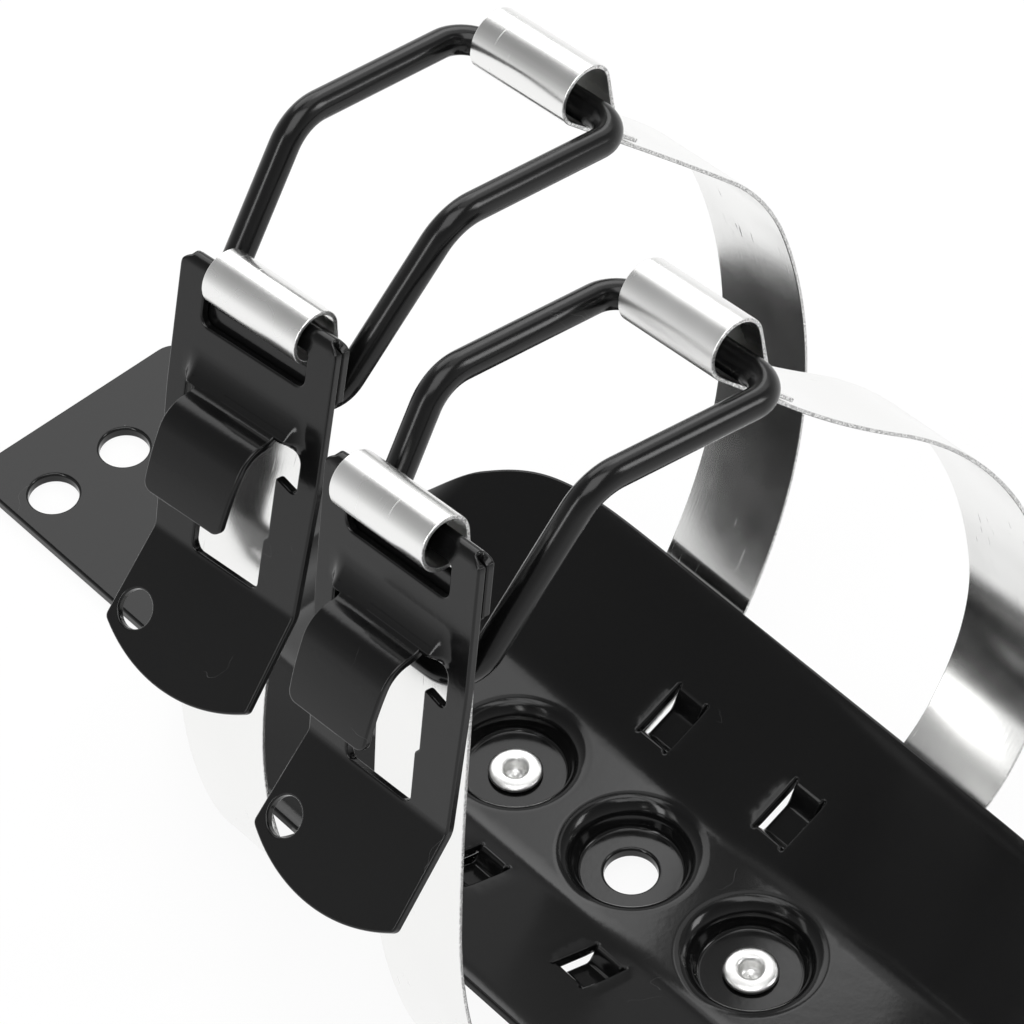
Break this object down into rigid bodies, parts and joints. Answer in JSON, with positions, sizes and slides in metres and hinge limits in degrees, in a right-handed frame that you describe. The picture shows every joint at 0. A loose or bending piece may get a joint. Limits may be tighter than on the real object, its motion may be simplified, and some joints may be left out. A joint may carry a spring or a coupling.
{
  "type": "fire extinguisher bracket",
  "caption": "Wall bracket for a fire extinguisher: a pressed plate with a trough-shaped saddle, and sprung metal straps that close with lever latches and wire bails.",
  "frame": {"origin": "centre of the back plate, on the plane of the wall", "axes": "+X across the plate, away from the latch levers; +Y along the plate; +Z out from the wall, towards the cylinder"},
  "size_m": [0.1986, 0.3876, 0.2244],
  "materials": {
    "black_powder_coat": "gloss powder coat",
    "plated_strap": "bright plated spring steel",
    "rivet_metal": "satin plated"
  },
  "bodies": {
    "bracket": {"back_plate": "black_powder_coat", "strap_1": "plated_strap", "strap_2": "plated_strap", "rivet_1": "rivet_metal", "rivet_2": "rivet_metal"},
    "latch_lever_1": {"lever_1": "black_powder_coat"},
    "latch_lever_2": {"lever_2": "black_powder_coat"},
    "wire_bail_1": {"bail_1": "black_powder_coat"},
    "wire_bail_2": {"bail_2": "black_powder_coat"}
  },
  "joints": [
    {"name": "lever_1_hinge", "type": "hinge", "parent": "bracket", "child": "latch_lever_1", "pos_m": [-0.0636, 0.03352, 0.20496], "axis": [-0.0558, 0.9977, -0.0384], "range_deg": [0, 140]},
    {"name": "bail_1_hinge", "type": "hinge", "parent": "bracket", "child": "wire_bail_1", "pos_m": [0.01023, 0.03791, 0.21178], "axis": [-0.0558, 0.9977, -0.0384], "range_deg": [0, 1.68]},
    {"name": "lever_2_hinge", "type": "hinge", "parent": "bracket", "child": "latch_lever_2", "pos_m": [-0.08656, -0.02929, 0.21727], "axis": [0, 0.994, -0.1097], "range_deg": [0, 140]},
    {"name": "bail_2_hinge", "type": "hinge", "parent": "bracket", "child": "wire_bail_2", "pos_m": [-0.01334, -0.03013, 0.20964], "axis": [0, 0.994, -0.1097], "range_deg": [0, 9.8]}
  ],
  "couplings": [
    {"joint": "bail_1_hinge", "follows": "lever_1_hinge", "ratio": 0.012},
    {"joint": "bail_2_hinge", "follows": "lever_2_hinge", "ratio": 0.07}
  ]
}
